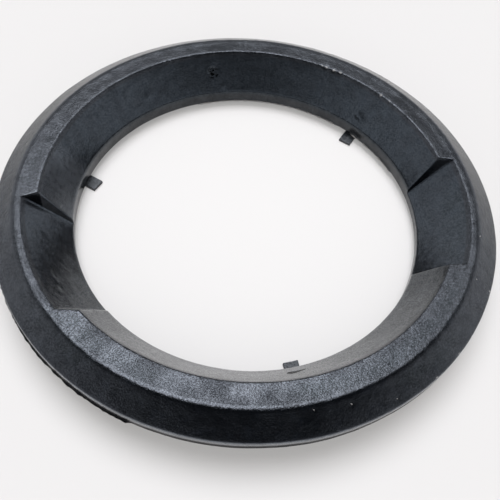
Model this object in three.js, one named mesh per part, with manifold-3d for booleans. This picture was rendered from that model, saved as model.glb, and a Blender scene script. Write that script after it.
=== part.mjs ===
// A cast-iron wok ring with two pits, for the top of a gas wok range, and three steel tabs under its bore.
// Millimetres, +Z up. The origin is on the ring's axis, in the plane that the tabs stand on.
import * as THREE from "three";
import { ConvexGeometry } from "three/addons/geometries/ConvexGeometry.js";
import { mergeVertices } from "three/addons/utils/BufferGeometryUtils.js";
import Module from "manifold-3d";

const wasm = await Module();
wasm.setup();

// Driving dimensions: the ring's section
const OUTER_R = 215;
const BORE_R = 154.4;
const RIDGE_R = 176.4; // inner edge of the flat top, where a wok rests
const CREST_R = 195.6; // outer edge of the flat top
const LIP_UNDERSIDE_Z = 3;
const LIP_CHAMFER_HEIGHT = 3; // on the lower edge of the bore
const LIP_CHAMFER_WIDTH = 5;
const RIM_UNDERSIDE_Z = 28;
const RIM_TOP_Z = 39;
const LAND_BORE_TOP_Z = 17.5;
const TOP_Z = 51.5;
const WALL = 8;
const LIP_WIDTH = 14.6; // from the bore to the lip's outer face
const HOLLOW_STEP = 2; // from the lip's outer face to the deeper hollow under a land

// Driving dimensions: the two pits, cut down through the inner slope. The foot of an end wall runs straight
// from the bore to the pit's edge on the flat top, and the wall leans out of the pit.
const PIT_TOP_R = 189.4;
const PIT_BORE_TOP_Z = 13.5;
const PIT_WALL = 7;
const PITS = [
  {
    start: { boreDeg: 192.3, edgeDeg: 191.25, leanDeg: 18.6 },
    end: { boreDeg: 227.3, edgeDeg: 225.4, leanDeg: 31.4 },
  },
  {
    start: { boreDeg: 340.2, edgeDeg: 341.6, leanDeg: 17.9 },
    end: { boreDeg: 375, edgeDeg: 376.3, leanDeg: 23.4 },
  },
];
const WEB_DEG = 5; // the casting stays solid this far on each side of a pit

// Driving dimensions: the tabs and their welds
const TAB_PIVOT_R = 149.5; // where each tab is placed on the ring, and turned
const TAB_REACH = 5.2; // from there to its inner end
const TAB_TAIL = 13.9; // from there to its outer end, under the lip
const TAB_WIDTH = 12.5;
const TAB_THICKNESS = LIP_UNDERSIDE_Z;
const TAB_CORNER = 0.6;
const WELD_LEG = 2.6;
const WELD_BULGE = 0.5;
const WELD_GAP = 0.3;
const TABS = [
  { name: "rear_tab", angleDeg: 50.7, turnDeg: 10.5 },
  { name: "left_tab", angleDeg: 170.9, turnDeg: -16.5 },
  { name: "front_tab", angleDeg: 288.3, turnDeg: 0 },
];

const RING_SEGMENTS = 112;
const BULGE_SEGMENTS = 6;
const OVERCUT = 6; // how far a cutter runs past the surface that it opens
// Ends of a cutter along an end wall's foot, in lengths of that foot, so that it passes right through
const CUTTER_ENDS = [-0.3, 2.5];

const blackPaintedIron = new THREE.MeshStandardMaterial({
  color: 0x24272b,
  roughness: 0.42,
  metalness: 0.15,
});
const blackPaintedSteel = new THREE.MeshStandardMaterial({
  color: 0x353433,
  roughness: 0.6,
  metalness: 0.3,
});
const weldMetal = new THREE.MeshStandardMaterial({
  color: 0x2e2c2b,
  roughness: 0.55,
  metalness: 0.4,
});

// A closed geometry as a manifold-3d solid.
function solidFrom(geometry) {
  const bare = geometry.clone();
  bare.deleteAttribute("normal");
  bare.deleteAttribute("uv");
  const merged = mergeVertices(bare, 1e-4);
  return new wasm.Manifold(
    new wasm.Mesh({
      numProp: 3,
      vertProperties: merged.attributes.position.array,
      triVerts: new Uint32Array(merged.index.array),
    }),
  );
}

// A manifold-3d solid as a three.js geometry.
function geometryFrom(solid) {
  const mesh = solid.getMesh();
  const geometry = new THREE.BufferGeometry();
  geometry.setAttribute("position", new THREE.BufferAttribute(mesh.vertProperties, 3));
  geometry.setIndex(new THREE.BufferAttribute(mesh.triVerts, 1));
  const faceted = geometry.toNonIndexed();
  faceted.computeVertexNormals();
  return faceted;
}

// Turns a closed section, given counterclockwise as [radius, height] pairs, about the ring's axis (+Z).
function turned(section) {
  const profile = [...section, section[0]].map(([r, z]) => new THREE.Vector2(r, z));
  const geometry = new THREE.LatheGeometry(profile, RING_SEGMENTS);
  geometry.rotateX(Math.PI / 2);
  return geometry;
}

// A point at an angle round the ring's axis.
function pointAt(r, deg, z) {
  const angle = THREE.MathUtils.degToRad(deg);
  return new THREE.Vector3(r * Math.cos(angle), r * Math.sin(angle), z);
}

// The corners of a patch of an end wall's plane, big enough to cut right through the ring. As it rises, the
// wall leans towards greater angles where side is 1, and towards smaller ones where side is -1.
function wallPatch({ boreDeg, edgeDeg, leanDeg }, side) {
  const foot = pointAt(BORE_R, boreDeg, PIT_BORE_TOP_Z);
  const along = pointAt(PIT_TOP_R, edgeDeg, TOP_Z).sub(foot);
  const lean = new THREE.Vector3(-along.y, along.x, 0);
  lean.setLength(side * Math.tan(THREE.MathUtils.degToRad(leanDeg)));
  const corners = [];
  for (const share of CUTTER_ENDS) {
    for (const z of [-2 * OVERCUT, TOP_Z + 2 * OVERCUT]) {
      const corner = foot.clone().addScaledVector(along, share);
      corner.addScaledVector(lean, z - corner.z);
      corner.z = z;
      corners.push(corner);
    }
  }
  return corners;
}

// All the space between two end walls, the first of them at the smaller angle.
function spaceBetween(start, end) {
  return new ConvexGeometry([...wallPatch(start, -1), ...wallPatch(end, 1)]);
}

// The space round a pit that the deeper hollow leaves alone, between two upright radial planes.
function spaceRound({ start, end }) {
  const from = Math.min(start.boreDeg, start.edgeDeg) - WEB_DEG;
  const to = Math.max(end.boreDeg, end.edgeDeg) + WEB_DEG;
  return spaceBetween(
    { boreDeg: from, edgeDeg: from, leanDeg: 0 },
    { boreDeg: to, edgeDeg: to, leanDeg: 0 },
  );
}

// Height on a straight line in the section, through the points a and b, at radius r.
function heightOnLine(a, b, r) {
  return a[1] + ((b[1] - a[1]) * (r - a[0])) / (b[0] - a[0]);
}

// The line through a and b, moved by distance to its right, as two points.
function offsetLine(a, b, distance) {
  const length = Math.hypot(b[0] - a[0], b[1] - a[1]);
  const shiftR = (distance * (b[1] - a[1])) / length;
  const shiftZ = (-distance * (b[0] - a[0])) / length;
  return [
    [a[0] + shiftR, a[1] + shiftZ],
    [b[0] + shiftR, b[1] + shiftZ],
  ];
}

// Where two straight lines in the section cross.
function crossing([a, b], [c, d]) {
  const slope1 = (b[1] - a[1]) / (b[0] - a[0]);
  const slope2 = (d[1] - c[1]) / (d[0] - c[0]);
  const r = (c[1] - a[1] + slope1 * a[0] - slope2 * c[0]) / (slope1 - slope2);
  return [r, heightOnLine(a, b, r)];
}

const landFoot = [BORE_R, LAND_BORE_TOP_Z];
const ridge = [RIDGE_R, TOP_Z];
const crest = [CREST_R, TOP_Z];
const rimTop = [OUTER_R, RIM_TOP_Z];
const pitFoot = [BORE_R, PIT_BORE_TOP_Z];
const pitEdge = [PIT_TOP_R, TOP_Z];
const rimInnerR = OUTER_R - WALL;
const lipOuterR = BORE_R + LIP_WIDTH;

const skirtInside = offsetLine(crest, rimTop, WALL);
const pitInside = offsetLine(pitFoot, pitEdge, PIT_WALL);
const landInside = offsetLine(landFoot, ridge, WALL);

// The section that all of the ring shares: the lands' faces outside, and a hollow that clears the pits.
function fullSection() {
  return [
    [BORE_R, LIP_UNDERSIDE_Z + LIP_CHAMFER_HEIGHT],
    [BORE_R + LIP_CHAMFER_WIDTH, LIP_UNDERSIDE_Z],
    [lipOuterR, LIP_UNDERSIDE_Z],
    [lipOuterR, heightOnLine(...pitInside, lipOuterR)],
    crossing(pitInside, skirtInside),
    [rimInnerR, heightOnLine(...skirtInside, rimInnerR)],
    [rimInnerR, RIM_UNDERSIDE_Z],
    [OUTER_R, RIM_UNDERSIDE_Z],
    rimTop,
    crest,
    ridge,
    landFoot,
  ];
}

// The space of a pit: everything above the pit's own slope, as far out as its edge on the flat top.
function pitSection() {
  const innerR = BORE_R - OVERCUT;
  const outerR = PIT_TOP_R + OVERCUT;
  return [
    [innerR, heightOnLine(pitFoot, pitEdge, innerR)],
    [outerR, heightOnLine(pitFoot, pitEdge, outerR)],
    [innerR, heightOnLine(pitFoot, pitEdge, outerR)],
  ];
}

// The deeper hollow under a land, which keeps the wall behind the steep face even.
function landHollowSection() {
  const innerR = lipOuterR + HOLLOW_STEP;
  const ceilingZ = TOP_Z - WALL;
  const ceilingInner = crossing(landInside, [[0, ceilingZ], [1, ceilingZ]]);
  const ceilingOuter = crossing(skirtInside, [[0, ceilingZ], [1, ceilingZ]]);
  return [
    [innerR, -OVERCUT],
    [ceilingOuter[0], -OVERCUT],
    ceilingOuter,
    ceilingInner,
    [innerR, heightOnLine(...landInside, innerR)],
  ];
}

function makeRingCasting() {
  let ring = solidFrom(turned(fullSection()));
  const pit = solidFrom(turned(pitSection()));
  for (const { start, end } of PITS) {
    ring = ring.subtract(pit.intersect(solidFrom(spaceBetween(start, end))));
  }
  let hollow = solidFrom(turned(landHollowSection()));
  for (const ends of PITS) {
    hollow = hollow.subtract(solidFrom(spaceRound(ends)));
  }
  ring = ring.subtract(hollow);
  const mesh = new THREE.Mesh(geometryFrom(ring), blackPaintedIron);
  mesh.name = "ring_casting";
  return mesh;
}

// A flat steel bar along +X with cropped corners at its inner end, standing on z = 0.
function makeTab(name) {
  const inner = -TAB_REACH;
  const outer = TAB_TAIL;
  const half = TAB_WIDTH / 2;
  const outline = new THREE.Shape();
  outline.moveTo(outer, -half);
  outline.lineTo(outer, half);
  outline.lineTo(inner + TAB_CORNER, half);
  outline.lineTo(inner, half - TAB_CORNER);
  outline.lineTo(inner, -half + TAB_CORNER);
  outline.lineTo(inner + TAB_CORNER, -half);
  outline.closePath();
  const geometry = new THREE.ExtrudeGeometry(outline, {
    depth: TAB_THICKNESS,
    bevelEnabled: false,
  });
  const mesh = new THREE.Mesh(geometry, blackPaintedSteel);
  mesh.name = name;
  return mesh;
}

// A fillet weld across the outer end of a tab, in the corner between that end and the lip's underside.
function makeWeld(name) {
  const section = new THREE.Shape();
  section.moveTo(0, 0);
  section.lineTo(WELD_LEG, 0);
  section.quadraticCurveTo(WELD_LEG / 2 + WELD_BULGE, -WELD_LEG / 2 - WELD_BULGE, 0, -WELD_LEG);
  section.closePath();
  const geometry = new THREE.ExtrudeGeometry(section, {
    depth: TAB_WIDTH,
    bevelEnabled: false,
    curveSegments: BULGE_SEGMENTS,
  });
  geometry.rotateX(Math.PI / 2);
  const mesh = new THREE.Mesh(geometry, weldMetal);
  mesh.position.set(TAB_TAIL + WELD_GAP, TAB_WIDTH / 2, LIP_UNDERSIDE_Z);
  mesh.name = name;
  return mesh;
}

const wokRing = new THREE.Group();
wokRing.add(makeRingCasting());
for (const { name, angleDeg, turnDeg } of TABS) {
  const station = new THREE.Group();
  station.position.copy(pointAt(TAB_PIVOT_R, angleDeg, 0));
  station.rotation.z = THREE.MathUtils.degToRad(angleDeg + turnDeg);
  station.add(makeTab(name));
  station.add(makeWeld(name + "_weld"));
  wokRing.add(station);
}

export default wokRing;
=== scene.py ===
# A black cast-iron wok ring with two pits and three steel tabs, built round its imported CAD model.
# Metres, +Z up. The ring's plain shape and the tabs' and welds' boxes are read from the CAD nodes. Roundings,
# relief, marks and finishes are named values.
import math
import random
from collections import Counter
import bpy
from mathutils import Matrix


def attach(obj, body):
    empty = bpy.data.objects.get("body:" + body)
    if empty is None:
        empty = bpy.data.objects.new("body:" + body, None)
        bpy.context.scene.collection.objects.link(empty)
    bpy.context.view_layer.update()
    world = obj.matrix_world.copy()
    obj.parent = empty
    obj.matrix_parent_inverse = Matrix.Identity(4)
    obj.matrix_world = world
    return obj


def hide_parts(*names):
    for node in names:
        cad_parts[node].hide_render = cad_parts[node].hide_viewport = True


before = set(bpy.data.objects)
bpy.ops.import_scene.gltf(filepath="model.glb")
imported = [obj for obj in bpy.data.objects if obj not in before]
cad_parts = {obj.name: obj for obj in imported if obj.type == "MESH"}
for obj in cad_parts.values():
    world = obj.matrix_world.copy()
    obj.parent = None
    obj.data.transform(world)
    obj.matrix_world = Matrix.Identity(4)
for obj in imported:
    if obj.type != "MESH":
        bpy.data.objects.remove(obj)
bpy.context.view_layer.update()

from types import SimpleNamespace

import bmesh
import bpy
import numpy as np
from mathutils import Matrix, Vector, noise

MM = 0.001
TABS = ("rear_tab", "left_tab", "front_tab")

# Reading the CAD node's circles
TENTH_OF_MM = 4  # decimals of a metre
CIRCLE_VERTICES = 60  # a circle of the turned section carries at least this many vertices
SAME = 0.12 * MM  # a corner that a cut leaves on a facet lies less than this inside its circle
HUNDREDTH_OF_DEG = 2  # decimals of a degree
LONGEST_FACET_DEG = 10  # neighbouring vertices on one circle are never further apart than this

# The ring's mesh
ROW_DEG = 0.515  # from one row of points to the next, on a land and in a pit
ARC_POINTS = 4  # steps round a rounded corner
HIDDEN_ARC_POINTS = 2  # and round one on the underside
WALL_SETBACKS = (1.0 * MM, 1.4 * MM)  # rounding at the top and at the foot of a pit's end wall
LARGEST_SETBACK = 0.4  # in shares of the end wall's height
WALL_POINTS = 7  # from one rounding to the other
LEAST_DROP = 0.05 * MM  # a pit's end wall is only where the pit is at least this deep
FULL_DROP = 1.5 * MM  # and its two corners only come apart where the pit is this deep
WEB_SLOPE_DEG = 1.5  # how far the underside takes to change between its deep and its shallow hollow

# The corners of the section, from the foot of the bore up, over the top and the skirt, and back underneath:
# the rounding on a land and in a pit (mm), and how many points there are before the next corner
CORNERS = {
    "lip_inner": (0.9, 0.9, 4),
    "bore_edge": (1.8, 1.1, 20),
    "ridge": (1.1, 1.1, 7),
    "pit_edge": (1.1, 1.1, 3),
    "crest": (2.3, 2.3, 12),
    "rim_top": (1.3, 1.3, 6),
    "rim_bottom": (0.8, 0.8, 2),
    "rim_inner": (1.2, 1.2, 2),
    "hollow_outer": (2.0, 2.0, 4),
    "ceiling_outer": (0.6, 0.6, 2),
    "ceiling_inner": (3.0, 3.0, 6),
    "lip_outer_top": (2.0, 2.0, 4),
    "lip_outer": (0.8, 0.8, 2),
    "lip_chamfer": (1.6, 1.6, 1),
}
CORNER_NUMBER = {name: number for number, name in enumerate(CORNERS)}
FIRST_BELOW = CORNER_NUMBER["rim_inner"]  # from here on the corners are on the underside

# How pebbly the face after each corner is, on a land and in a pit
PEBBLE = {
    "lip_inner": (0.30, 0.30),
    "bore_edge": (0.10, 0.10),
    "ridge": (0.95, 0.12),
    "pit_edge": (1.00, 1.00),
    "crest": (0.35, 0.35),
    "rim_top": (0.25, 0.25),
}
UNDERSIDE_PEBBLE = 0.8
# The share of its pebble that the flat top loses round the rear, between these two angles
SMOOTHER = 0.5
SMOOTHER_DEG = (10, 192)
SMOOTHER_FADE_DEG = 25

# How far the paint is worn along an edge, on a land and in a pit
EDGES_WORN = {
    "lip_inner": (0.58, 0.58),
    "ridge": (0.51, 0.0),
    "pit_edge": (0.0, 0.43),
    "crest": (0.30, 0.30),
    "rim_top": (0.45, 0.45),
}

# Relief of the cast skin, as (wavelength, height)
RELIEF = (
    (45 * MM, 0.28 * MM),
    (15 * MM, 0.10 * MM),
    (6 * MM, 0.045 * MM),
)
UNDERSIDE_RELIEF = 2.5  # the underside is this much rougher
RAGGED_EDGES = ("ridge", "crest")  # left ragged by the mould
RAGGED_WAVELENGTH = 5 * MM
RAGGED_HEIGHT = 0.12 * MM
RAGGED_SEED = 9

FADE_DEG = 1.5  # how far a mark fades out beyond its two angles, where nothing else is said

# Cast flash left at the foot of the rim, and at the foot of the bore: how far it stands out, and how high up
# the wall it starts
RIM_FLASH_DEG = (196, 251)
RIM_FLASH = 2.0 * MM
RIM_FLASH_RISE = 2.2 * MM
BORE_FLASH_DEG = ((58, 113), (29, 50))
BORE_FLASH = 1.6 * MM
BORE_FLASH_RISE = 2.0 * MM
FLASH_DEPTH = 1.5 * MM  # points this near the bore or the outside belong to its wall
FLASH_JAGS = 4 * MM  # wavelength of its jagged edge
FLASH_MEAN = 0.75
FLASH_VARIATION = 0.5
FLASH_SEED = 7
TORN_WEAR = 1.7  # how bare the torn edge of the flash at the bore is

# Lumps on the steep faces: angle (degrees), share of the way up the face, radius and height (mm)
LUMPS = (
    (51, 0.30, 3.6, 0.90),
    (49, 0.25, 2.6, 0.60),
    (133, 0.35, 2.8, 0.55),
    (104, 0.15, 2.6, 0.30),
)
# Chipped paint: chips along the ridge as (start and end in degrees, how many), and specks on the skirt
CHIPPED_RIDGE = ((61, 71, 5), (44, 48, 2))
CHIP_OUTSIDE = (0.1 * MM, 0.6 * MM)  # how far outside the ridge
CHIP_RADIUS = (1.4 * MM, 2.5 * MM)
SPECKS = 18
SPECK_RADIUS = (1.1 * MM, 1.7 * MM)
CHIP_DEPTH = 0.35 * MM
CHIP_SEED = 5
# Pores left by gas in the steep face of the rear land, painted near black inside as painted shade
PORES_DEG = 107.5
PORES_SHARE = 0.53  # of the way up the face
PORES_REACH = 6.5 * MM
# Dark slits, a painted dark reflection of the front and the left tab over a shallow dent: on the front land's
# steep face as (degrees, share of the way up) at each end, and on the bore wall as (degrees, height above its
# foot) at each end, each with a half-width at each end
FACE_SLIT = ((285.3, 0.47), (288.9, 0.40))
FACE_SLIT_WIDTHS = (3.6 * MM, 1.2 * MM)
BORE_SLIT = ((170.4, 2.2 * MM), (174.6, 1.6 * MM))
BORE_SLIT_WIDTHS = (0.8 * MM, 0.5 * MM)

# A pale painted reflection of the floor on the upper part of the rim's upright wall, from a share of the
# wall's height upwards, and painted shade that takes the shine away below it
RIM_FACE_DEPTH = 1.6 * MM  # points this near the outside belong to that wall
SHEEN_FROM = 0.50
SHEEN_FADE = 0.15
# Thin dust on the steep face of the land beside the left pit
FACE_DUST = 0.32
FACE_DUST_DEG = (174, 189)
FACE_DUST_FADE_DEG = 6
# Painted shade on the end walls at the rear of the two pits, which takes their shine away
END_WALL_SHADE = 0.8
WALL_SHADE_REACH_DEG = 6  # to each side of where the wall meets the bore
WALL_SHADE_OUTSIDE = 1 * MM  # how far it reaches outside the pit's edge


# ------------------------ Reading the frame


def circles(node):
    """(radius, height) of every circle round the axis that the node's turned section makes."""
    counts = Counter()
    for vertex in node.data.vertices:
        radius = math.hypot(vertex.co.x, vertex.co.y)
        counts[round(radius, TENTH_OF_MM), round(vertex.co.z, TENTH_OF_MM)] += 1
    return sorted(circle for circle, count in counts.items() if count >= CIRCLE_VERTICES)


def heights_at(found, radius):
    """The heights, from the lowest up, of the circles that have this radius."""
    return sorted(z for r, z in found if abs(r - radius) < SAME)


def radii_at(found, height):
    """The radii, from the smallest up, of the circles at this height."""
    return sorted(r for r, z in found if abs(z - height) < SAME)


def ceiling_below(found, height):
    """The highest circle under this height, as (radius, height)."""
    return max((z, r) for r, z in found if z < height - SAME)[::-1]


def read_land(found):
    """The corners of the ring's section on a land, as (radius, height)."""
    bore_r = min(r for r, z in found)
    outer_r = max(r for r, z in found)
    top_z = max(z for r, z in found)
    lip_z = min(z for r, z in found)
    bore_bottom_z, pit_bore_z, land_bore_z = heights_at(found, bore_r)
    ridge_r, pit_edge_r, crest_r = radii_at(found, top_z)
    rim_bottom_z, rim_top_z = heights_at(found, outer_r)
    rim_inner_r = min(radii_at(found, rim_bottom_z))
    hollow_z = max(heights_at(found, rim_inner_r))
    chamfer_r, lip_outer_r = radii_at(found, lip_z)
    pit_ceiling_z = ceiling_below(found, top_z)[1]
    ceiling_z = ceiling_below(found, pit_ceiling_z)[1]
    deep_r = min(r for r, z in found if r > lip_outer_r + SAME)
    return {
        "lip_inner": (bore_r, bore_bottom_z),
        "bore_edge": (bore_r, land_bore_z),
        "ridge": (ridge_r, top_z),
        "pit_edge": (pit_edge_r, top_z),
        "crest": (crest_r, top_z),
        "rim_top": (outer_r, rim_top_z),
        "rim_bottom": (outer_r, rim_bottom_z),
        "rim_inner": (rim_inner_r, rim_bottom_z),
        "hollow_outer": (rim_inner_r, hollow_z),
        "ceiling_outer": (max(radii_at(found, ceiling_z)), ceiling_z),
        "ceiling_inner": (min(radii_at(found, ceiling_z)), ceiling_z),
        "lip_outer_top": (deep_r, max(heights_at(found, deep_r))),
        "lip_outer": (lip_outer_r, lip_z),
        "lip_chamfer": (chamfer_r, lip_z),
    }


def read_pit(found, land):
    """The corners of the ring's section in a pit. Those that the pit leaves alone are the land's."""
    bore_r = land["bore_edge"][0]
    lip_outer_r = land["lip_outer"][0]
    pit = dict(land)
    pit["bore_edge"] = (bore_r, heights_at(found, bore_r)[1])
    pit["ridge"] = point_between(pit["bore_edge"], pit["pit_edge"], land["ridge"][0])
    pit["ceiling_outer"] = ceiling_below(found, land["ridge"][1])
    pit["lip_outer_top"] = (lip_outer_r, max(heights_at(found, lip_outer_r)))
    pit["ceiling_inner"] = point_between(pit["lip_outer_top"], pit["ceiling_outer"], land["ceiling_inner"][0])
    return pit


def read_section(node):
    """The ring's section on a land and in a pit, where the pits end, and where the ring is hollowed deep."""
    found = circles(node)
    land = read_land(found)
    pit = read_pit(found, land)
    return SimpleNamespace(
        land=land,
        pit=pit,
        bore_r=land["lip_inner"][0],
        outer_r=land["rim_bottom"][0],
        bore_bottom_z=land["lip_inner"][1],
        rim_bottom_z=land["rim_bottom"][1],
        pits=read_pits(node, land, pit),
        deep_hollows=arcs_on(node, land["lip_outer_top"]),
    )


def point_between(a, b, radius):
    """The point at this radius on the straight line through two points of the section."""
    share = (radius - a[0]) / (b[0] - a[0])
    return radius, a[1] + share * (b[1] - a[1])


def arcs_on(node, circle):
    """(start, end) in degrees of each stretch of a circle that the node has vertices on, end after start."""
    radius, height = circle
    angles = set()
    for vertex in node.data.vertices:
        near_radius = abs(math.hypot(vertex.co.x, vertex.co.y) - radius) < SAME
        if near_radius and abs(vertex.co.z - height) < SAME:
            angle = math.degrees(math.atan2(vertex.co.y, vertex.co.x)) % 360
            angles.add(round(angle, HUNDREDTH_OF_DEG))
    angles = sorted(angles)
    starts = [i for i, angle in enumerate(angles) if (angle - angles[i - 1]) % 360 > LONGEST_FACET_DEG]
    arcs = []
    for first, following in zip(starts, starts[1:] + starts[:1]):
        start, end = angles[first], angles[following - 1]
        arcs.append((start, start + (end - start) % 360))
    return arcs


def nearest_angle(angles, to):
    """The angle nearest to another one, given less than half a turn from it."""
    gaps = [(angle - to + 180) % 360 - 180 for angle in angles]
    return to + min(gaps, key=abs)


def read_pits(node, land, pit):
    """Each pit's two end walls, as their angles (degrees) at the bore, the pit's edge and the ridge."""
    lands = arcs_on(node, land["ridge"])
    pits = []
    for bore, edge in zip(arcs_on(node, pit["bore_edge"]), arcs_on(node, pit["pit_edge"])):
        before = nearest_angle([end for start, end in lands], bore[0])
        after = nearest_angle([start for start, end in lands], bore[1])
        pits.append(((bore[0], edge[0], before), (bore[1], edge[1], after)))
    return pits


# ------------------------ Paths with rounded corners


def rounded_corner(before, corner, after, setback, count=ARC_POINTS):
    """Points of a curve that leaves the corner out, starting and ending a setback away from it."""
    before, corner, after = (np.array(p, float) for p in (before, corner, after))
    start = corner + setback * (before - corner) / np.linalg.norm(before - corner)
    end = corner + setback * (after - corner) / np.linalg.norm(after - corner)
    t = np.linspace(0, 1, count + 1)[:, None]
    return (1 - t) ** 2 * start + 2 * t * (1 - t) * corner + t**2 * end


def span(start, end, count):
    """Points strictly between two points, evenly spaced."""
    t = np.linspace(0, 1, count + 2)[1:-1, None]
    return start + t * (end - start)


def closed_path(corners, setbacks, arc_points, spans):
    """A closed path with rounded corners, and for each of its points the index of the corner before it."""
    count = len(corners)
    arcs = [
        rounded_corner(corners[i - 1], corners[i], corners[(i + 1) % count], setbacks[i], arc_points[i])
        for i in range(count)
    ]
    points = []
    owner = []
    for i in range(count):
        stretch = np.concatenate([arcs[i], span(arcs[i][-1], arcs[(i + 1) % count][0], spans[i])])
        points.append(stretch)
        owner += [i] * len(stretch)
    return np.concatenate(points), np.array(owner)


def wall_path(height):
    """Down an end wall of this height, as (distance into the pit from the wall, share of the drop)."""
    top, foot = (min(setback, LARGEST_SETBACK * height) for setback in WALL_SETBACKS)
    corners = [(-1, 0), (0, 0), (0, height), (1, height)]
    over = rounded_corner(*corners[:3], top)
    under = rounded_corner(*corners[1:], foot)
    path = np.concatenate([over, span(over[-1], under[0], WALL_POINTS), under])
    path[:, 1] /= height
    return path


# ------------------------ The ring casting


def smooth_step(x):
    """0 up to 0, 1 from 1, and an S-shaped rise between."""
    x = np.clip(x, 0, 1)
    return x * x * (3 - 2 * x)


def section_paths(section):
    """The section's points on a land and in a pit, matched one to one, and each point's corner index."""
    on_land, in_pit, spans = zip(*CORNERS.values())
    below = len(CORNERS) - FIRST_BELOW
    arc_points = [ARC_POINTS] * FIRST_BELOW + [HIDDEN_ARC_POINTS] * below
    paths = []
    for corners, setbacks in ((section.land, on_land), (section.pit, in_pit)):
        places = [corners[name] for name in CORNERS]
        path, owner = closed_path(places, [setback * MM for setback in setbacks], arc_points, spans)
        paths.append(path)
    return *paths, owner


def angle_on_plane(corners, circles_to_cross, near):
    """Angles (degrees) at which circles of (radius, height) cross the plane through three corners."""
    a, b, c = (np.array(corner) for corner in corners)
    normal = np.cross(b - a, c - a)
    radius, height = circles_to_cross.T
    cosine = (normal @ a - normal[2] * height) / (radius * math.hypot(normal[0], normal[1]))
    swing = np.degrees(np.arccos(np.clip(cosine, -1, 1)))
    middle = math.degrees(math.atan2(normal[1], normal[0]))
    options = np.stack([middle + swing, middle - swing])
    options += 360 * np.round((near - options) / 360)
    nearer = np.abs(options[0] - near) < np.abs(options[1] - near)
    return np.where(nearer, options[0], options[1])


def wall_angles(section, wall, land, pit):
    """Angles (degrees) of an end wall's top and of its foot at every point of the section."""
    bore_deg, edge_deg, ridge_deg = wall
    corners = (
        on_circle(*section.pit["bore_edge"], bore_deg),
        on_circle(*section.pit["pit_edge"], edge_deg),
        on_circle(*section.land["ridge"], ridge_deg),
    )
    carved = np.abs(land[:, 1] - pit[:, 1]) > LEAST_DROP
    columns = np.arange(len(land))
    lean = angle_on_plane(corners, land, bore_deg) - angle_on_plane(corners, pit, bore_deg)
    foot = angle_on_plane(corners, pit, bore_deg)
    foot = np.interp(columns, columns[carved], foot[carved], period=len(columns))
    return foot + lean * carved, foot


def rows_of(section, land, pit):
    """Angle (degrees) and pit share of every mesh point, as two (rows, points) arrays."""
    drop = np.abs(land[:, 1] - pit[:, 1])
    paths = np.stack([wall_path(max(height, FULL_DROP)) for height in drop])
    even = np.linspace(-WALL_SETBACKS[0], WALL_SETBACKS[1], paths.shape[1])  # where there is no wall
    stepped = np.minimum(drop / FULL_DROP, 1)[:, None]
    distance = stepped * paths[:, :, 0] + (1 - stepped) * even
    into = np.degrees(distance / land[:, :1]).T
    share = paths[:, :, 1].T

    def wall_rows(wall, side):
        top, foot = wall_angles(section, wall, land, pit)
        return top + (foot - top) * share + side * into

    walls = [(wall_rows(first, 1), wall_rows(last, -1)[::-1]) for first, last in section.pits]
    blocks = []
    for index, (enter, leave) in enumerate(walls):
        following = walls[(index + 1) % len(walls)][0][0]
        if following.mean() < leave[-1].mean():
            following = following + 360
        blocks.append((enter, share))
        blocks.append(between_rows(enter[-1], leave[0], 1))
        blocks.append((leave, share[::-1]))
        blocks.append(between_rows(leave[-1], following, 0))
    angles = np.concatenate([block[0] for block in blocks])
    shares = np.concatenate([block[1] for block in blocks])
    return angles, shares


def between_rows(first, last, share):
    """Evenly spaced rows strictly between two rows of angles, all with one pit share."""
    count = int(round((last - first).mean() / ROW_DEG))
    t = np.linspace(0, 1, count + 1)[1:-1, None]
    angles = first + t * (last - first)
    return angles, np.full(angles.shape, float(share))


def shallow_share(section, angles):
    """1 where the hollow under the ring is shallow, 0 where it is deep."""
    share = np.ones(angles.shape)
    for start, end in section.deep_hollows:
        inside = (angles - start) % 360
        length = end - start
        depth = np.minimum(inside, length - inside)
        share -= smooth_step(depth / WEB_SLOPE_DEG)
    return share


def turned_points(section):
    """The ring's mesh points as a (rows, points, 3) array, with each point's pit share and corner index."""
    land, pit, owner = section_paths(section)
    angles, shares = rows_of(section, land, pit)
    below = owner >= FIRST_BELOW
    middle = angles.mean(axis=1, keepdims=True)
    shares[:, below] = shallow_share(section, np.repeat(middle, below.sum(), axis=1))
    flat = land[None] * (1 - shares[..., None]) + pit[None] * shares[..., None]
    turn = np.radians(angles)
    points = np.stack([flat[..., 0] * np.cos(turn), flat[..., 0] * np.sin(turn), flat[..., 1]], axis=-1)
    return points, shares, owner


def grid_normals(points):
    """Unit normals of a grid of points that closes on itself both ways."""
    along = np.roll(points, -1, axis=1) - np.roll(points, 1, axis=1)
    across = np.roll(points, -1, axis=0) - np.roll(points, 1, axis=0)
    normals = np.cross(along, across)
    return normals / np.linalg.norm(normals, axis=-1, keepdims=True)


def noise_at(points, wavelength, seed):
    """Smooth noise between about -1 and 1 at each point."""
    shift = Vector((seed, 2.7 * seed, 5.3 * seed))  # each seed has its own part of the noise
    flat = points.reshape(-1, 3) / wavelength
    values = [noise.noise(Vector(p) + shift) for p in flat]
    return np.array(values).reshape(points.shape[:-1])


def bump_near(points, centre, radius):
    """A round hump of height 1 at the centre, gone at about twice the radius."""
    distance = np.linalg.norm(points - np.array(centre), axis=-1)
    return np.exp(-((distance / radius) ** 2))


def radius_of(points):
    """Each point's distance from the ring's axis."""
    return np.linalg.norm(points[..., :2], axis=-1)


def degrees_of(points):
    """Each point's angle round the ring's axis, from 0 to 360."""
    return np.degrees(np.arctan2(points[..., 1], points[..., 0])) % 360


def on_circle(radius, height, degrees):
    """The point at this angle on a circle round the ring's axis."""
    turn = math.radians(degrees)
    return radius * math.cos(turn), radius * math.sin(turn), height


def on_land_face(section, degrees, share):
    """A point on the steep face of a land, a share of the way up from the bore to the ridge."""
    low, high = section.land["bore_edge"], section.land["ridge"]
    return on_circle(low[0] + share * (high[0] - low[0]), low[1] + share * (high[1] - low[1]), degrees)


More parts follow.
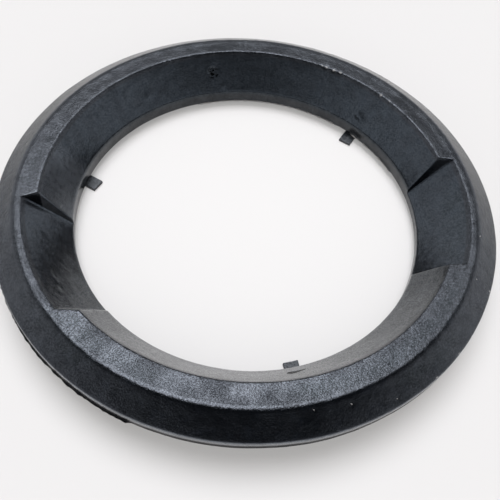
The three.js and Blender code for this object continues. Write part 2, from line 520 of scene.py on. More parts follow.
def chips(section):
    """(centre, radius) of each place where paint is chipped off: on the ridge, and strewn over the skirt."""
    draw = random.Random(CHIP_SEED)
    ridge, crest, rim = (section.land[name] for name in ("ridge", "crest", "rim_top"))
    places = []
    for start, end, count in CHIPPED_RIDGE:
        for _ in range(count):
            centre = on_circle(ridge[0] + draw.uniform(*CHIP_OUTSIDE), ridge[1], draw.uniform(start, end))
            places.append((centre, draw.uniform(*CHIP_RADIUS)))
    for _ in range(SPECKS):
        on_skirt = point_between(crest, rim, draw.uniform(crest[0], rim[0]))
        places.append((on_circle(*on_skirt, draw.uniform(0, 360)), draw.uniform(*SPECK_RADIUS)))
    return places


def angular_window(degrees, start, end, fade=FADE_DEG):
    """1 between two angles, falling to 0 outside them."""
    inside = (degrees - start + fade) % 360
    length = end - start + 2 * fade
    return smooth_step(np.minimum(inside, length - inside) / fade)


def flash(points, section):
    """How far the thin flash at the foot of the rim and of the bore stands out, as radial offsets."""
    radius = radius_of(points)
    degrees = degrees_of(points)
    jag = FLASH_MEAN + FLASH_VARIATION * noise_at(points * (1, 1, 0), FLASH_JAGS, FLASH_SEED)
    low = 1 - np.clip((points[..., 2] - section.rim_bottom_z) / RIM_FLASH_RISE, 0, 1)
    at_rim = radius > section.outer_r - FLASH_DEPTH
    offset = RIM_FLASH * jag * low * at_rim * angular_window(degrees, *RIM_FLASH_DEG)
    low = 1 - np.clip((points[..., 2] - section.bore_bottom_z) / BORE_FLASH_RISE, 0, 1)
    at_bore = radius < section.bore_r + FLASH_DEPTH
    for start, end in BORE_FLASH_DEG:
        offset -= BORE_FLASH * jag * low * at_bore * angular_window(degrees, start, end)
    return offset


def belongs_to(owner, names):
    """Which mesh points lie on one of these corners or on the stretch after it."""
    return np.isin(owner, [CORNER_NUMBER[name] for name in names])


def arc_places(owner):
    """Each mesh point's place in the run of points that belong to its corner, counted from 0."""
    firsts = np.array([np.argmax(owner == index) for index in range(owner.max() + 1)])
    return np.arange(len(owner)) - firsts[owner]


def relief(points, section, owner):
    """How far the cast skin stands proud of the plain turned shape at each point."""
    strength = np.where(owner >= FIRST_BELOW, UNDERSIDE_RELIEF, 1.0)
    height = np.zeros(points.shape[:-1])
    for seed, (wavelength, amount) in enumerate(RELIEF, start=1):
        height += amount * noise_at(points, wavelength, seed) * strength
    edges = belongs_to(owner, RAGGED_EDGES) & (arc_places(owner) <= ARC_POINTS)
    height += RAGGED_HEIGHT * noise_at(points, RAGGED_WAVELENGTH, RAGGED_SEED) * edges
    for degrees, share, radius, amount in LUMPS:
        height += amount * MM * bump_near(points, on_land_face(section, degrees, share), radius * MM)
    for centre, radius in chips(section):
        height -= CHIP_DEPTH * bump_near(points, centre, radius)
    return height


def corner_values(table, default):
    """A (corners, 2) array of a table's land and pit values, with a default for corners it leaves out."""
    return np.array([table.get(name, (default, default)) for name in CORNERS])


def pebble_of(points, shares, owner):
    """How pebbly the cast skin is at each point: the flat top is smoother towards the rear."""
    values = corner_values(PEBBLE, UNDERSIDE_PEBBLE)[owner]
    blended = values[:, 0] * (1 - shares) + values[:, 1] * shares
    on_top = belongs_to(owner, ("ridge", "pit_edge")) & (arc_places(owner) > ARC_POINTS)
    at_rear = angular_window(degrees_of(points), *SMOOTHER_DEG, SMOOTHER_FADE_DEG)
    blended = blended * (1 - SMOOTHER * on_top * at_rear)
    return (np.roll(blended, 1, axis=1) + blended + np.roll(blended, -1, axis=1)) / 3


def wear_of(points, section, shares, owner, flash_at):
    """Where paint is worn: along the upper edges, in the chips, and on the torn flash at the bore."""
    wear = np.zeros(points.shape[:2])
    for name, (on_land, in_pit) in EDGES_WORN.items():
        first = int(np.argmax(owner == CORNER_NUMBER[name]))
        edge = slice(first, first + ARC_POINTS + 1)
        wear[:, edge] = on_land + (in_pit - on_land) * shares[:, edge]
    for centre, radius in chips(section):
        wear = np.maximum(wear, bump_near(points, centre, radius))
    return np.maximum(wear, TORN_WEAR * -flash_at / BORE_FLASH)


def rim_wall_shares(points, section):
    """Where a pale reflection of the floor is painted on the rim's upright wall, on its upper part, and where
    painted shade takes its shine away, on its lower part.
    """
    at_rim = radius_of(points) > section.outer_r - RIM_FACE_DEPTH
    bottom, top = section.rim_bottom_z, section.land["rim_top"][1]
    share = (points[..., 2] - bottom) / (top - bottom)
    dust_and_sheen_share = smooth_step((share - SHEEN_FROM) / SHEEN_FADE)
    return at_rim * dust_and_sheen_share * (share < 1), at_rim * (1 - dust_and_sheen_share)


def end_wall_shade(points, section, shares):
    """Painted shade on the end walls at the rear of the two pits, which takes their shine away: most halfway
    down, none at the top or the foot.
    """
    degrees = degrees_of(points)
    down_the_wall = smooth_step(4 * shares * (1 - shares))
    wall_shade = np.zeros(shares.shape)
    for bore_deg in (section.pits[0][0][0], section.pits[-1][1][0]):
        near = angular_window(degrees, bore_deg - WALL_SHADE_REACH_DEG, bore_deg + WALL_SHADE_REACH_DEG)
        wall_shade += END_WALL_SHADE * near * down_the_wall
    inside = radius_of(points) < section.pit["pit_edge"][0] + WALL_SHADE_OUTSIDE
    above_lip = points[..., 2] > section.rim_bottom_z / 2
    return wall_shade * inside * above_lip


def face_dust(points, owner):
    """Dust on the steep face of the land beside the left pit."""
    on_face = owner == CORNER_NUMBER["bore_edge"]
    return FACE_DUST * on_face * angular_window(degrees_of(points), *FACE_DUST_DEG, FACE_DUST_FADE_DEG)


def grid_mesh(name, points):
    """A mesh of quads over a grid of points that closes on itself both ways."""
    rows, columns = points.shape[:2]
    here = np.arange(rows * columns).reshape(rows, columns)
    next_row = np.roll(here, -1, axis=0)
    corners = [here, np.roll(here, -1, axis=1), np.roll(next_row, -1, axis=1), next_row]
    mesh = bpy.data.meshes.new(name)
    mesh.from_pydata(points.reshape(-1, 3).tolist(), [], np.stack(corners, -1).reshape(-1, 4).tolist())
    mesh.shade_smooth()
    return mesh


def add_attribute(mesh, name, values):
    """Gives every vertex of a mesh its own value, for the material to read."""
    attribute = mesh.attributes.new(name, "FLOAT", "POINT")
    attribute.data.foreach_set("value", values.astype(np.float32).ravel())


def make_ring(section):
    """The cast ring, with how pebbly and worn its skin is, its dust and painted pale sheen, and the painted
    shade that takes its shine away, stored at every vertex.
    """
    points, shares, owner = turned_points(section)
    normals = grid_normals(points)
    pebble = pebble_of(points, shares, owner)
    flash_at = flash(points, section)
    wear = wear_of(points, section, shares, owner, flash_at)
    # Painted light: a pale reflection of the floor on the rim's upper wall; painted shade that takes the
    # shine away on its lower wall and on the pits' rear end walls
    dust_and_sheen_share, painted_shade = rim_wall_shares(points, section)
    dust_and_sheen_share = np.maximum(dust_and_sheen_share, face_dust(points, owner))
    painted_shade = np.maximum(painted_shade, end_wall_shade(points, section, shares))
    outward = points * (1, 1, 0)
    outward /= np.linalg.norm(outward, axis=-1, keepdims=True)
    shaped = points + normals * relief(points, section, owner)[..., None]
    shaped += outward * flash_at[..., None]
    mesh = grid_mesh("ring", shaped)
    add_attribute(mesh, "pebble", pebble)
    add_attribute(mesh, "wear", wear)
    add_attribute(mesh, "dust_and_sheen", dust_and_sheen_share)
    add_attribute(mesh, "painted_shade", painted_shade)
    return linked("ring", mesh)


def linked(name, mesh):
    """A new object in the scene for a mesh."""
    piece = bpy.data.objects.new(name, mesh)
    bpy.context.scene.collection.objects.link(piece)
    return piece


def mesh_of(name, body):
    """The mesh of a bmesh, which is freed."""
    mesh = bpy.data.meshes.new(name)
    body.to_mesh(mesh)
    body.free()
    return mesh


def placed(name, body, place):
    """A smooth-shaded object for a bmesh that was made in a tab's frame."""
    mesh = mesh_of(name, body)
    mesh.transform(place)
    mesh.shade_smooth()
    return linked(name, mesh)


# ------------------------ Tabs and welds

TAB_EDGE = 0.45 * MM  # rounding of its edges
TAB_EDGE_STEPS = 3
TAB_CUTS = 9  # in each long edge, so that the relief can bend the faces
TAB_RELIEF = ((5 * MM, 0.10 * MM), (1.6 * MM, 0.035 * MM))  # as (wavelength, height)
TAB_SHEAR = 0.25 * MM  # how far the sheared edges lean
TAB_SEED = 10

WELD_ROWS = 56
WELD_ARC = 12  # points round the bead
WELD_SINK = 0.35 * MM  # how far the bead's root reaches into the lip and the tab
WELD_LEAST = 0.15  # the share of its size that the bead keeps at its two ends
WELD_BLUNTNESS = 6  # the higher, the nearer to its ends the bead keeps its full size
WELD_PITCH = 1.5 * MM  # from one ripple to the next
WELD_RIPPLE = 0.16  # in shares of the bead's size
WELD_LAG = 0.9  # how far (radians) ripples trail behind in the middle of the bead
WELD_WOBBLE = 0.06  # in shares of the bead's size
WELD_WOBBLE_WAVELENGTH = 3 * MM
WELD_SAG = 0.2 * MM  # how far the bead may hang below its CAD node
WELD_SEED = 20


def tab_frame(tab):
    """A frame with +X along a tab, away from the ring's axis, and y = 0 in the middle of the tab's width."""
    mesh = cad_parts[tab].data
    upright = [face for face in mesh.polygons if abs(face.normal.z) < 0.5]
    side = max(upright, key=lambda face: face.area)
    along = side.normal.cross(Vector((0, 0, 1)))
    along *= math.copysign(1, along.dot(side.center))
    turn = Matrix.Rotation(math.atan2(along.y, along.x), 4, "Z")
    across = [(turn.inverted() @ vertex.co).y for vertex in mesh.vertices]
    return turn @ Matrix.Translation((0, (min(across) + max(across)) / 2, 0))


def box_in(place, node_name):
    """The two corners of a node's box, in another frame."""
    back = place.inverted()
    coordinates = np.array([back @ vertex.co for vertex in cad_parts[node_name].data.vertices])
    return coordinates.min(axis=0), coordinates.max(axis=0)


def make_tab(name, seed):
    """A sheared flat bar: rounded edges, sides that lean a little, and a slightly uneven rolled face."""
    place = tab_frame(name)
    low, high = box_in(place, name)
    body = bmesh.new()
    bmesh.ops.create_cube(body, size=1)
    size = high - low
    for vertex in body.verts:
        vertex.co = Vector(low) + Vector((np.array(vertex.co) + 0.5) * size)
    edges = list(body.edges)
    bmesh.ops.bevel(body, geom=edges, offset=TAB_EDGE, segments=TAB_EDGE_STEPS, profile=0.5, affect="EDGES")
    long_edges = [edge for edge in body.edges if edge.calc_length() > 2 * TAB_EDGE]
    bmesh.ops.subdivide_edges(body, edges=long_edges, cuts=TAB_CUTS, use_grid_fill=True)
    body.normal_update()
    shift = Vector((seed, 0, 0))
    for vertex in body.verts:
        up = (vertex.co.z - low[2]) / size[2]
        away = sum(amount * noise.noise(vertex.co / wave + shift) for wave, amount in TAB_RELIEF)
        vertex.co += vertex.normal * away
        vertex.co.y += math.copysign(TAB_SHEAR, vertex.co.y) * (0.5 - up)
        vertex.co.z = max(vertex.co.z, low[2])
    return placed(name + "_bar", body, place)


def bead_reach(along, arc, half, leg, seed):
    """How far the bead's face is from its root, at a share of its half-length and an angle round it."""
    rounding = math.sqrt(max(0.0, 1 - abs(along) ** WELD_BLUNTNESS))
    lag = WELD_LAG * math.sin(2 * arc)
    ripple = abs(math.sin(math.pi * along * half / WELD_PITCH + lag))
    wobble = noise.noise(Vector((along * half / WELD_WOBBLE_WAVELENGTH, arc, seed)))
    size = 1 - WELD_RIPPLE * ripple + WELD_WOBBLE * wobble
    return (leg + WELD_SINK) * size * (WELD_LEAST + (1 - WELD_LEAST) * rounding)


def bead_rows(low, high, seed):
    """Rows of points across a bead that fills the corner between a tab's end and the lip."""
    leg = high[0] - low[0]
    half = (high[1] - low[1]) / 2
    rows = []
    for along in np.linspace(-1, 1, WELD_ROWS):
        root = Vector((low[0] - WELD_SINK, along * half, high[2] + WELD_SINK))
        row = [root]
        for arc in np.linspace(0, math.pi / 2, WELD_ARC):
            direction = Vector((math.cos(arc), 0, -math.sin(arc)))
            row.append(root + direction * bead_reach(along, arc, half, leg, seed))
        for point in row:
            point.z = max(point.z, low[2] - WELD_SAG)
        rows.append(row)
    return rows


def make_weld(name, tab, seed):
    """A fillet bead in the corner between a tab's end and the lip, rippled across its length."""
    place = tab_frame(tab)
    body = bmesh.new()
    rows = [[body.verts.new(point) for point in row] for row in bead_rows(*box_in(place, name), seed)]
    for row, following in zip(rows, rows[1:]):
        for i in range(len(row)):
            body.faces.new((row[i - 1], row[i], following[i], following[i - 1]))
    body.faces.new(rows[0][::-1])
    body.faces.new(rows[-1])
    bmesh.ops.recalc_face_normals(body, faces=list(body.faces))
    return placed(name + "_bead", body, place)


# ------------------------ Materials

PAINT = (0.0010, 0.0012, 0.0017)
PAINT_DUSTY = (0.0030, 0.0038, 0.0055)
# Pale dust on the steep face beside the left pit, and a painted reflection of the floor on the rim's upper
# wall
PALE_DUST_AND_SHEEN = (0.093, 0.099, 0.110)
BARE_IRON = (0.15, 0.142, 0.134)
# Near black: painted shade inside the pores, and the slits' painted dark reflection of the tabs
HOLE_SHADE_AND_TAB_REFLECTION = (0.001, 0.001, 0.001)
TOP_TINT = (0.88, 0.93, 1.0)  # colour of the shine on the pebbled faces
FACE_TINT = (0.70, 0.85, 1.0)  # and on the smooth ones
COAT_ROUGHNESS = 0.2
SLIGHTEST_GLINT = 0.04  # what is left of the shine where shade is painted: in a pore or slit, on the rim's lower wall and on the pits' rear end walls

# Wavelengths of the cast skin, from patches that are more or less pebbly down to its fine grain
PATCH = 26 * MM
SWELL = 6 * MM
BEAD = 1.35 * MM
SPECKLE = 1.1 * MM
GRAIN = 1.05 * MM
FINE_GRAIN = 0.8 * MM
# Heights of the cast skin
SWELL_HEIGHT = 0.5 * MM
PEBBLE_HEIGHT = 0.6 * MM
FINE_HEIGHT = 0.10 * MM
# Wavelengths of what is on the skin and in it
CHIP_EDGE = 1.6 * MM
DUST_PATCH = 9 * MM
DUST_AND_SHEEN_PATCH = 5 * MM
SHADE_PATCH = 11 * MM
PORE = 2.6 * MM
HOLE_DEPTH = 1.2 * MM
# Strokes of the brush that the paint was put on with, which run up the slope
STREAK_RADIUS = 165 * MM  # where a stroke has its stated width
STREAK_WIDTH = 2.6 * MM
STREAK_LENGTH = 22 * MM

STEEL_DARK = (0.020, 0.023, 0.027)
STEEL_RUBBED = (0.050, 0.054, 0.060)
STEEL_PIT = (0.002, 0.002, 0.002)
STEEL_PATCH = 4 * MM
STEEL_SCALE = 1.4 * MM
STEEL_SCALE_HEIGHT = 0.5 * MM
WELD_DARK = (0.020, 0.019, 0.019)
WELD_HEAT_TINT = (0.085, 0.070, 0.058)
WELD_PATCH = 2.5 * MM
WELD_GRAIN = 0.6 * MM
WELD_GRAIN_HEIGHT = 0.06 * MM


class Nodes:
    """A short way to build one node tree. Every method but surface returns a socket or a node."""

    def __init__(self, tree):
        self.tree = tree
        tree.nodes.clear()

    def add(self, kind, inputs=None, **settings):
        """A new node. Each of its inputs takes a value, or the socket of another node."""
        node = self.tree.nodes.new("ShaderNode" + kind)
        for key, value in settings.items():
            setattr(node, key, value)
        for key, value in (inputs or {}).items():
            if isinstance(value, bpy.types.NodeSocket):
                self.tree.links.new(value, node.inputs[key])
            else:
                node.inputs[key].default_value = value
        return node

    def math(self, operation, a, b=0.0, c=0.5, clamp=False):
        return self.add("Math", {0: a, 1: b, 2: c}, operation=operation, use_clamp=clamp).outputs[0]

    def ramp(self, value, low, high, to_low=0.0, to_high=1.0):
        """A smooth rise from one result to another while a value goes from low to high."""
        inputs = {"Value": value, "From Min": low, "From Max": high, "To Min": to_low, "To Max": to_high}
        return self.add("MapRange", inputs, interpolation_type="SMOOTHSTEP").outputs[0]

    def mix_colour(self, factor, a, b):
        """From colour a to colour b. A Mix node's sockets 6, 7 and output 2 are those for colours."""
        colours = [value if isinstance(value, bpy.types.NodeSocket) else (*value, 1) for value in (a, b)]
        inputs = {0: factor, 6: colours[0], 7: colours[1]}
        return self.add("Mix", inputs, data_type="RGBA").outputs[2]

    def noise(self, position, wavelength, detail=2.0, roughness=0.5):
        inputs = {"Vector": position, "Scale": 1 / wavelength, "Detail": detail, "Roughness": roughness}
        return self.add("TexNoise", inputs).outputs[0]

    def attribute(self, name):
        return self.add("Attribute", attribute_name=name).outputs["Fac"]

    def bump(self, height, distance, strength=1.0, normal=None):
        inputs = {"Height": height, "Distance": distance, "Strength": strength}
        if normal is not None:
            inputs["Normal"] = normal
        return self.add("Bump", inputs).outputs[0]

    def surface(self, inputs):
        shader = self.add("BsdfPrincipled", inputs)
        self.add("OutputMaterial", {"Surface": shader.outputs[0]})


def new_material(name):
    """A material with no nodes yet, and the builder of its nodes."""
    material = bpy.data.materials.new(name)
    material.use_nodes = True
    return material, Nodes(material.node_tree)


def skin(n, place, pebble):
    """Speckle of the cast skin (0 to 1), how pebbly it is, and its normal."""
    patches = n.ramp(n.noise(place, PATCH, 3), 0.40, 0.58, 0.55, 1.0)
    strength = n.math("MULTIPLY", pebble, patches)
    grain = n.noise(place, GRAIN, 3, 0.65)
    beads = n.add("TexVoronoi", {"Vector": place, "Scale": 1 / BEAD}, feature="SMOOTH_F1").outputs[0]
    pebbles = n.math("SUBTRACT", grain, n.math("MULTIPLY", beads, 0.5))
    normal = n.bump(n.noise(place, SWELL), SWELL_HEIGHT, n.math("MULTIPLY_ADD", pebble, 0.6, 0.2))
    normal = n.bump(pebbles, PEBBLE_HEIGHT, n.math("MULTIPLY", strength, 0.75), normal)
    fine_strength = n.ramp(pebble, 0.1, 0.4, 0.35, 0.75)
    normal = n.bump(n.noise(place, FINE_GRAIN, 2, 0.65), FINE_HEIGHT, fine_strength, normal)
    speckle = n.ramp(n.noise(place, SPECKLE, 2, 0.6), 0.40, 0.60)
    return speckle, strength, normal


def streaks(n, place):
    """Noise drawn out up the slope of the ring, as strokes of a brush."""
    apart = n.add("SeparateXYZ", {0: place}).outputs
    turn = n.math("ARCTAN2", apart[1], apart[0])
    around = n.math("MULTIPLY", turn, STREAK_RADIUS)
    drawn = n.math("MULTIPLY", apart[2], STREAK_WIDTH / STREAK_LENGTH)
    return n.noise(n.add("CombineXYZ", {0: around, 1: drawn}).outputs[0], STREAK_WIDTH, 3, 0.6)


def slit(n, place, start, end, widths):
    """1 inside a slit between two points, which has a half-width at each of its ends."""
    span_vector = Vector(end) - Vector(start)
    offset = n.add("VectorMath", {0: place, 1: start}, operation="SUBTRACT").outputs["Vector"]
    along = n.add("VectorMath", {0: offset, 1: span_vector}, operation="DOT_PRODUCT").outputs["Value"]
    share = n.math("DIVIDE", along, span_vector.length_squared, clamp=True)
    reached = n.add("VectorMath", {0: span_vector, "Scale": share}, operation="SCALE").outputs["Vector"]
    away = n.add("VectorMath", {0: offset, 1: reached}, operation="DISTANCE").outputs["Value"]
    width = n.ramp(share, 0.0, 1.0, *widths)
    return n.ramp(n.math("DIVIDE", away, width), 0.75, 1.15, 1.0, 0.0)


def pores_and_slits(n, place, section):
    """1 inside the pores that gas has left in the casting, and in the slits where a dark reflection of the
    front and the left tab is painted.
    """
    pores_at = on_land_face(section, PORES_DEG, PORES_SHARE)
    away = n.add("VectorMath", {0: place, 1: pores_at}, operation="DISTANCE").outputs["Value"]
    area = n.ramp(away, 0.4 * PORES_REACH, PORES_REACH, 1.0, 0.0)
    spots = n.ramp(n.noise(place, PORE, 1), 0.46, 0.52)
    pores = n.math("MULTIPLY", area, spots)
    on_face = [on_land_face(section, degrees, share) for degrees, share in FACE_SLIT]
    on_bore = [on_circle(section.bore_r, section.bore_bottom_z + up, degrees) for degrees, up in BORE_SLIT]
    face_slit = slit(n, place, *on_face, FACE_SLIT_WIDTHS)
    bore_slit = slit(n, place, *on_bore, BORE_SLIT_WIDTHS)
    return n.math("MAXIMUM", pores, n.math("MAXIMUM", face_slit, bore_slit))


def paint_colour(n, place, hollow, bare):
    """Black paint with dust in patches, pale where dust has settled and where a reflection of the floor is
    painted on the rim's upper wall, near black as painted shade in the pores and as a painted dark reflection
    of the tabs in the slits, and bare iron where it is worn.
    """
    dust_and_sheen = n.ramp(n.noise(place, DUST_PATCH, 4, 0.65), 0.45, 0.75, 0.0, 0.7)
    patches = n.ramp(n.noise(place, DUST_AND_SHEEN_PATCH, 3), 0.3, 0.6, 0.6, 1.0)
    # Pale: dust on the steep face beside the left pit, and a painted reflection of the floor on the rim's
    # upper wall
    settled_dust_and_sheen = n.math("MULTIPLY", n.attribute("dust_and_sheen"), patches)
    colour = n.mix_colour(dust_and_sheen, PAINT, PAINT_DUSTY)
    colour = n.mix_colour(settled_dust_and_sheen, colour, PALE_DUST_AND_SHEEN)
    # Near black: painted shade inside the pores, and the slits' painted dark reflection of the tabs
    colour = n.mix_colour(hollow, colour, HOLE_SHADE_AND_TAB_REFLECTION)
    return n.mix_colour(bare, colour, BARE_IRON)


def paint_roughness(n, strokes, strength, bare):
    """Rougher along some strokes of the brush, on the pebbles and where paint is worn."""
    rough = n.ramp(strokes, 0.3, 0.7, 0.14, 0.19)
    rough = n.math("MULTIPLY_ADD", strength, 0.10, rough)
    return n.math("MULTIPLY_ADD", bare, 0.2, rough)


def paint_glint(n, place, speckle, strength, smooth, strokes):
    """How strongly the paint shines: in patches and strokes, and in specks where it is pebbly."""
    contrast = n.ramp(strength, 0.05, 0.4, 0.14, 0.40)
    shade = n.ramp(n.noise(place, SHADE_PATCH, 3), 0.35, 0.65, 0.46, 0.60)
    glint = n.math("MULTIPLY_ADD", n.math("SUBTRACT", speckle, 0.5), contrast, shade)
    glint = n.math("MULTIPLY", glint, n.ramp(smooth, 0.0, 1.0, 1.0, 0.80))
    return n.math("MULTIPLY", glint, n.ramp(strokes, 0.3, 0.7, 1.08, 0.94))


def paint_material(section):
    """Semi-gloss black paint over a sand-cast skin: pebbly on the flat top, smooth on the steep faces."""
    material, n = new_material("painted_cast_iron")
    place = n.add("TexCoord").outputs["Object"]
    pebble = n.attribute("pebble")
    speckle, strength, normal = skin(n, place, pebble)
    smooth = n.ramp(pebble, 0.12, 0.25, 1.0, 0.0)
    strokes = n.math("MULTIPLY_ADD", n.math("SUBTRACT", streaks(n, place), 0.5), smooth, 0.5)
    hollow = pores_and_slits(n, place, section)
    normal = n.bump(n.math("MULTIPLY", hollow, -1.0), HOLE_DEPTH, 1.0, normal)
    torn = n.math("MULTIPLY_ADD", n.noise(place, CHIP_EDGE, 3, 0.7), 0.8, n.attribute("wear"))
    bare = n.ramp(torn, 1.02, 1.16)
    # Painted shade: the shine is taken away in the pores, on the rim's lower wall and on the pits' rear end
    # walls; in the slits this paints a dark reflection of the tabs
    unlit = n.math("MULTIPLY", n.math("MAXIMUM", hollow, n.attribute("painted_shade")), 1 - SLIGHTEST_GLINT)
    lit = n.math("SUBTRACT", 1.0, unlit)
    glint = paint_glint(n, place, speckle, strength, smooth, strokes)
    gloss = n.math("MULTIPLY", n.math("MULTIPLY", smooth, lit), n.ramp(speckle, 0.0, 1.0, 0.10, 0.60))
    n.surface({
        "Base Color": paint_colour(n, place, hollow, bare),
        "Roughness": paint_roughness(n, strokes, strength, bare),
        "Specular IOR Level": n.math("MULTIPLY", glint, lit),
        "Specular Tint": n.mix_colour(smooth, TOP_TINT, FACE_TINT),
        "Coat Weight": gloss,
        "Coat Roughness": COAT_ROUGHNESS,
        "Coat Normal": normal,
        "Normal": normal,
    })
    return material


def steel_material():
    """Thin matt black paint over a sheared steel flat, rubbed through in places and pitted."""
    material, n = new_material("painted_steel")
    place = n.add("TexCoord").outputs["Object"]
    patches = n.noise(place, STEEL_PATCH, 4, 0.6)
    colour = n.mix_colour(n.ramp(patches, 0.4, 0.7), STEEL_DARK, STEEL_RUBBED)
    scale = n.noise(place, STEEL_SCALE, 3, 0.7)
    pits = n.ramp(scale, 0.36, 0.52, 0.75, 0.0)
    n.surface({
        "Base Color": n.mix_colour(pits, colour, STEEL_PIT),
        "Roughness": n.ramp(patches, 0.3, 0.7, 0.34, 0.50),
        "Specular IOR Level": n.math("MULTIPLY", n.math("SUBTRACT", 1.0, pits), 0.5),
        "Normal": n.bump(scale, STEEL_SCALE_HEIGHT, 0.9),
    })
    return material


def weld_material():
    """A weld bead under thin black paint, with heat tint showing through in patches."""
    material, n = new_material("weld_metal")
    place = n.add("TexCoord").outputs["Object"]
    patches = n.noise(place, WELD_PATCH, 4, 0.6)
    n.surface({
        "Base Color": n.mix_colour(n.ramp(patches, 0.35, 0.7), WELD_DARK, WELD_HEAT_TINT),
        "Roughness": n.ramp(patches, 0.3, 0.7, 0.40, 0.60),
        "Metallic": 0.4,
        "Normal": n.bump(n.noise(place, WELD_GRAIN, 3, 0.6), WELD_GRAIN_HEIGHT, 0.8),
    })
    return material


# ------------------------ Floor, light and camera

FLOOR_SIZE = 8.0
FLOOR_COLOUR = (0.441, 0.424, 0.410)
FLOOR_ROUGHNESS = 0.9
FLOOR_SHINE = 0.2
FLOOR_GLOW = (0.232, 0.163)  # painted light: the floor glows, more under the ring than away from it, which lifts the ring's shadow
FLOOR_GLOW_FADE = (0.12, 0.30)  # the distances from the ring's axis where it has those two values
BACKDROP = (0.86, 0.86, 0.87)  # what the camera sees beyond the floor

# The surroundings. A direction has +X to the right, +Y away from the camera and +Z up, and is the middle of
# a cone that has its full strength inside the first angle (degrees) and ends at the second.
SOFTBOX_DIRECTION = (-0.075, 0.30, 0.95)
SOFTBOX_CONE = (12, 28)
SOFTBOX_STRENGTH = 8.6
# What reflections see besides the soft light
SURROUND = 1.11
MIRRORED_COLOUR = (0.95, 0.985, 1.06)
DARK_DIRECTION = (0.075, -0.26, 0.96)
DARK_CONE = (28, 71)
DARK_SHARE = 0.99
DIP_DIRECTION = (0, 0.80, 0.60)
DIP_CONE = (24, 40)
DIP_SHARE = 0.42
# What diffuse light sees besides the soft light
DIFFUSED = 0.33
FILL_DIRECTION = (0, -0.93, 0.36)
FILL_CONE = (15, 60)
FILL_STRENGTH = 1.6

# The camera: it is aimed at the ring's axis, at the height of the rim's foot, and then turned
CAMERA_DISTANCE = 0.5141
CAMERA_ELEVATION = math.radians(51.508)
CAMERA_PAN = math.radians(-0.588)
CAMERA_TILT = math.radians(4.791)
CAMERA_ROLL = math.radians(5.696)
CAMERA_NEAREST = 0.01
LENS = 41.448
SENSOR = 36


def make_floor():
    """A white sheet that glows as painted light, more so under the ring, which lifts the ring's shadow."""
    material, n = new_material("white_sheet")
    place = n.add("TexCoord").outputs["Object"]
    away = n.add("VectorMath", {0: place}, operation="LENGTH").outputs["Value"]
    n.surface({
        "Base Color": (*FLOOR_COLOUR, 1),
        "Roughness": FLOOR_ROUGHNESS,
        "Specular IOR Level": FLOOR_SHINE,
        "Emission Color": (1, 1, 1, 1),
        # Painted light: the floor's glow, stronger under the ring
        "Emission Strength": n.ramp(away, *FLOOR_GLOW_FADE, *FLOOR_GLOW),
    })
    body = bmesh.new()
    bmesh.ops.create_grid(body, x_segments=1, y_segments=1, size=FLOOR_SIZE / 2)
    mesh = mesh_of("floor", body)
    mesh.materials.append(material)
    linked("floor", mesh)


def cone_of(n, ray, direction, cone):
    """1 for rays near a direction, falling to 0 between the cone's two angles."""
    towards = Vector(direction).normalized()
    cosine = n.add("VectorMath", {0: ray, 1: towards}, operation="DOT_PRODUCT").outputs["Value"]
    full, none = (math.cos(math.radians(angle)) for angle in cone)
    return n.ramp(cosine, none, full)


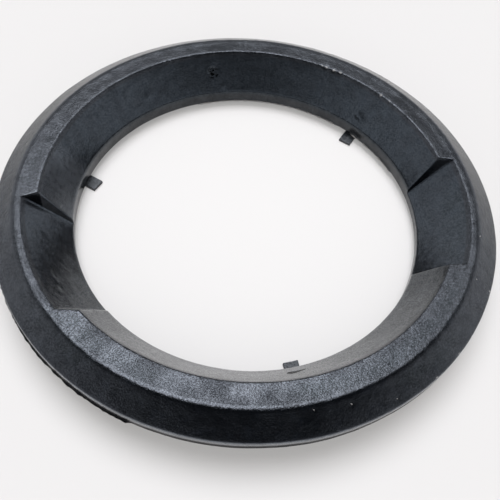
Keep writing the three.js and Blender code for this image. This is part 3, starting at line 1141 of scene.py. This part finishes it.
def make_studio():
    """Pale surroundings, with a soft light overhead and a little behind the object.

    Reflections see them bluish, dark overhead round the soft light, and dimmer behind the object. Diffuse
    light sees them dimmer all round, with a fill light from the front. The camera sees a plain backdrop."""
    world = bpy.data.worlds.new("studio")
    bpy.context.scene.world = world
    world.use_nodes = True
    n = Nodes(world.node_tree)
    ray = n.add("TexCoord").outputs["Generated"]
    ray_kind = n.add("LightPath").outputs

    softbox = n.math("MULTIPLY", cone_of(n, ray, SOFTBOX_DIRECTION, SOFTBOX_CONE), SOFTBOX_STRENGTH)
    mirrored = SURROUND
    for direction, cone, share in (
        (DARK_DIRECTION, DARK_CONE, DARK_SHARE),
        (DIP_DIRECTION, DIP_CONE, DIP_SHARE),
    ):
        kept = n.math("SUBTRACT", 1.0, n.math("MULTIPLY", cone_of(n, ray, direction, cone), share))
        mirrored = n.math("MULTIPLY", kept, mirrored)
    fill = n.math("MULTIPLY", cone_of(n, ray, FILL_DIRECTION, FILL_CONE), FILL_STRENGTH)
    diffused = n.math("ADD", fill, DIFFUSED)
    around = n.add("Mix", {0: ray_kind["Is Diffuse Ray"], 2: mirrored, 3: diffused}).outputs[0]
    colour = n.mix_colour(ray_kind["Is Diffuse Ray"], MIRRORED_COLOUR, (1, 1, 1))
    light = n.add("Background", {"Color": colour, "Strength": n.math("ADD", softbox, around)})
    backdrop = n.add("Background", {"Color": (*BACKDROP, 1), "Strength": 1.0})
    mixed = n.add("MixShader", {0: ray_kind["Is Camera Ray"], 1: light.outputs[0], 2: backdrop.outputs[0]})
    n.add("OutputWorld", {"Surface": mixed.outputs[0]})


def make_camera(section):
    """The camera, seeing the ring from the front and above."""
    data = bpy.data.cameras.new("camera")
    data.lens = LENS
    data.sensor_width = SENSOR
    data.clip_start = CAMERA_NEAREST
    camera = bpy.data.objects.new("camera", data)
    bpy.context.scene.collection.objects.link(camera)
    target = Vector((0, 0, section.rim_bottom_z))
    back = Vector((0, -math.cos(CAMERA_ELEVATION), math.sin(CAMERA_ELEVATION)))
    aim = (-back).to_track_quat("-Z", "Y").to_matrix()
    pan = Matrix.Rotation(CAMERA_PAN, 3, "Y")
    tilt = Matrix.Rotation(-CAMERA_TILT, 3, "X")
    roll = Matrix.Rotation(CAMERA_ROLL, 3, "Z")
    place = Matrix.Translation(target + CAMERA_DISTANCE * back)
    camera.matrix_world = place @ (aim @ pan @ tilt @ roll).to_4x4()
    bpy.context.scene.camera = camera


# ------------------------ Putting it together


def put_on(piece, node, material):
    """Lets a piece stand for a CAD node, on the one body, with its material."""
    piece.data.materials.append(material)
    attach(piece, "root")
    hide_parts(node)


section = read_section(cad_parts["ring_casting"])
put_on(make_ring(section), "ring_casting", paint_material(section))
steel = steel_material()
bead = weld_material()
for seed, tab in enumerate(TABS):
    put_on(make_tab(tab, TAB_SEED + seed), tab, steel)
    weld = tab + "_weld"
    put_on(make_weld(weld, tab, WELD_SEED + seed), weld, bead)

make_floor()
make_studio()
make_camera(section)
bpy.context.scene.view_settings.view_transform = "Standard"
